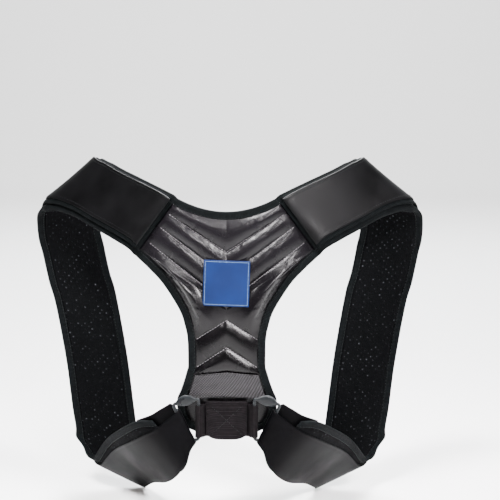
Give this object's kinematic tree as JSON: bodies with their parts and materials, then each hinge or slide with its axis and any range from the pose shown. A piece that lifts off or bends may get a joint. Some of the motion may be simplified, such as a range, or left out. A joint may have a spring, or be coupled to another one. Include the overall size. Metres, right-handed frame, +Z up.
{
  "type": "posture corrector",
  "caption": "Quilted upper-back brace whose padded shoulder loops fold under the arms and fasten to rings beside a stitched foot tab, held in its worn form.",
  "frame": {"origin": "the body side of the back panel, between the shoulder blades, where the panel rests on the wearer's back", "axes": "+Z up the wearer's back; +Y forwards, out of the wearer's chest, so the outer face of the panel looks along -Y; +X to the right as seen from behind"},
  "size_m": [0.4142, 0.1652, 0.3634],
  "materials": {
    "leather": "soft satin, quilted",
    "binding": "woven, matt",
    "mesh": "perforated, matt",
    "smooth": "smooth, faint sheen",
    "knit": "fine knit, matt",
    "webbing": "woven, matt",
    "plastic": "moulded satin",
    "label": "flat woven patch, bare"
  },
  "bodies": {
    "root": {"armhole_binding_left": "binding", "armhole_binding_right": "binding", "back_panel": "leather", "cover_backing_left": "binding", "cover_backing_right": "binding", "foot_tab": "webbing", "knit_section": "knit", "label": "label", "loop_binding_left": "binding", "loop_binding_right": "binding", "neck_binding": "binding", "ring_left": "plastic", "ring_loop_left": "webbing", "ring_loop_right": "webbing", "ring_right": "plastic", "shoulder_cover_left": "smooth", "shoulder_cover_right": "smooth", "shoulder_strap_left": "mesh", "shoulder_strap_right": "mesh", "underarm_band_left": "smooth", "underarm_band_right": "smooth", "wing_tape_left": "webbing", "wing_tape_right": "webbing"}
  },
  "joints": []
}
